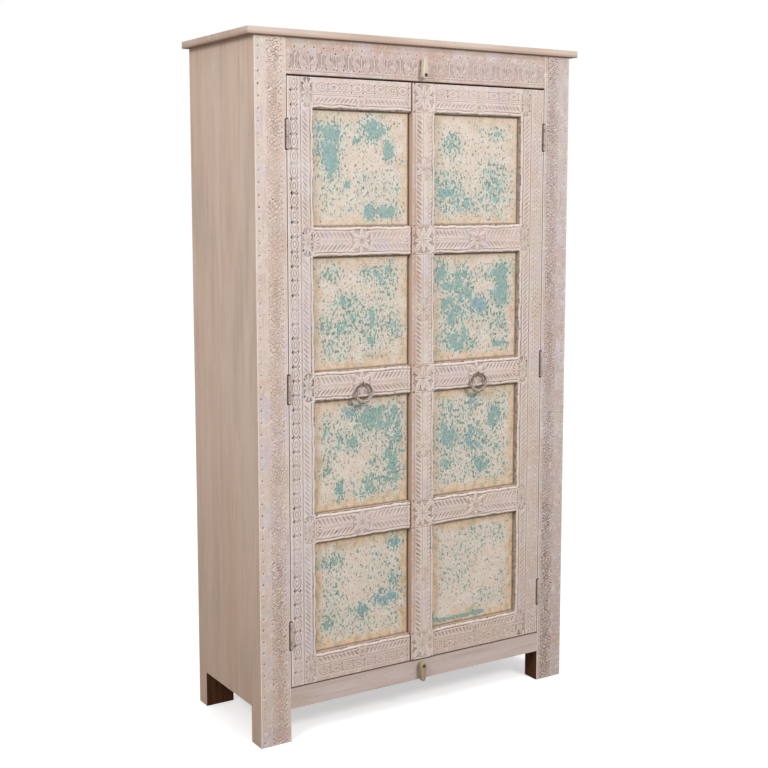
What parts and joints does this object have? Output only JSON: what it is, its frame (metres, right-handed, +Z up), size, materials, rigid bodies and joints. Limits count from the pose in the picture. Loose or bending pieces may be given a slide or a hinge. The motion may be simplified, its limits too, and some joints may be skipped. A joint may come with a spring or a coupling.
{
  "type": "trastero cabinet",
  "caption": "Tall free-standing armoire of carved whitewashed wood with hinged panelled doors, inner shelves, ring pulls and turn buttons.",
  "frame": {"origin": "on the floor, in the middle of the footprint of everything, turn buttons and screws included", "axes": "+X to the right seen from the front, +Y to the back, +Z up; the doors face -Y"},
  "size_m": [1.037, 0.4072, 1.83],
  "materials": {
    "carved_limed_wood": "hand-carved solid wood under a pale whitewash, with the gouges left darker",
    "plain_limed_wood": "plain solid wood boards with a streaky whitewash",
    "inner_wood": "unfinished sawn wood",
    "painted_panel": "cream paint over worn turquoise paint on board",
    "limed_iron": "iron butt hinge brushed over with the whitewash",
    "ring_iron": "cast ring pull with a rubbed pale wash",
    "screw_steel": "dull steel screw",
    "limed_button": "wooden turn button, whitewashed",
    "worn_button": "wooden turn button, wash rubbed off"
  },
  "bodies": {
    "carcass": {"top_board": "plain_limed_wood", "left_front_post": "carved_limed_wood", "right_front_post": "carved_limed_wood", "left_back_post": "plain_limed_wood", "right_back_post": "plain_limed_wood", "header_rail": "carved_limed_wood", "bottom_rail": "plain_limed_wood", "left_side_boards": "plain_limed_wood", "right_side_boards": "plain_limed_wood", "left_side_rails": "inner_wood", "right_side_rails": "inner_wood", "top_back_rail": "inner_wood", "bottom_back_rail": "inner_wood", "back_boards": "inner_wood", "floor_board": "inner_wood", "lower_shelf": "inner_wood", "middle_shelf": "inner_wood", "upper_shelf": "inner_wood", "left_shelf_cleats": "inner_wood", "right_shelf_cleats": "inner_wood", "door_stop": "inner_wood", "left_hinge_frame_leaves": "limed_iron", "right_hinge_frame_leaves": "limed_iron", "turn_button_screws": "screw_steel"},
    "left_door": {"left_hinge_stile": "carved_limed_wood", "left_meeting_stile": "carved_limed_wood", "left_door_top_rail": "carved_limed_wood", "left_door_upper_rail": "carved_limed_wood", "left_door_ring_rail": "carved_limed_wood", "left_door_lower_rail": "carved_limed_wood", "left_door_bottom_rail": "carved_limed_wood", "left_door_top_panel": "painted_panel", "left_door_upper_panel": "painted_panel", "left_door_lower_panel": "painted_panel", "left_door_bottom_panel": "painted_panel", "left_hinge_door_leaves": "limed_iron", "left_ring_eye": "ring_iron"},
    "right_door": {"right_hinge_stile": "carved_limed_wood", "right_meeting_stile": "carved_limed_wood", "right_door_top_rail": "carved_limed_wood", "right_door_upper_rail": "carved_limed_wood", "right_door_ring_rail": "carved_limed_wood", "right_door_lower_rail": "carved_limed_wood", "right_door_bottom_rail": "carved_limed_wood", "right_door_top_panel": "painted_panel", "right_door_upper_panel": "painted_panel", "right_door_lower_panel": "painted_panel", "right_door_bottom_panel": "painted_panel", "right_hinge_door_leaves": "limed_iron", "right_ring_eye": "ring_iron"},
    "left_ring": {"left_ring": "ring_iron"},
    "right_ring": {"right_ring": "ring_iron"},
    "top_turn_button": {"top_turn_button": "limed_button"},
    "bottom_turn_button": {"bottom_turn_button": "worn_button"}
  },
  "joints": [
    {"name": "left_door_hinge", "type": "hinge", "parent": "carcass", "child": "left_door", "pos_m": [-0.4085, -0.18235, 0.93225], "axis": [0, 0, -1], "range_deg": [0, 165]},
    {"name": "right_door_hinge", "type": "hinge", "parent": "carcass", "child": "right_door", "pos_m": [0.4085, -0.18235, 0.93225], "axis": [0, 0, 1], "range_deg": [0, 165]},
    {"name": "left_ring_swing", "type": "hinge", "parent": "left_door", "child": "left_ring", "pos_m": [-0.19175, -0.19085, 0.93225], "axis": [-1, 0, 0], "range_deg": [0, 160]},
    {"name": "right_ring_swing", "type": "hinge", "parent": "right_door", "child": "right_ring", "pos_m": [0.18125, -0.19085, 0.93225], "axis": [-1, 0, 0], "range_deg": [0, 160]},
    {"name": "top_button_turn", "type": "hinge", "parent": "carcass", "child": "top_turn_button", "pos_m": [-0.005, -0.19335, 1.737], "axis": [0, 1, 0], "continuous": true},
    {"name": "bottom_button_turn", "type": "hinge", "parent": "carcass", "child": "bottom_turn_button", "pos_m": [-0.005, -0.19335, 0.131], "axis": [0, 1, 0], "continuous": true}
  ]
}
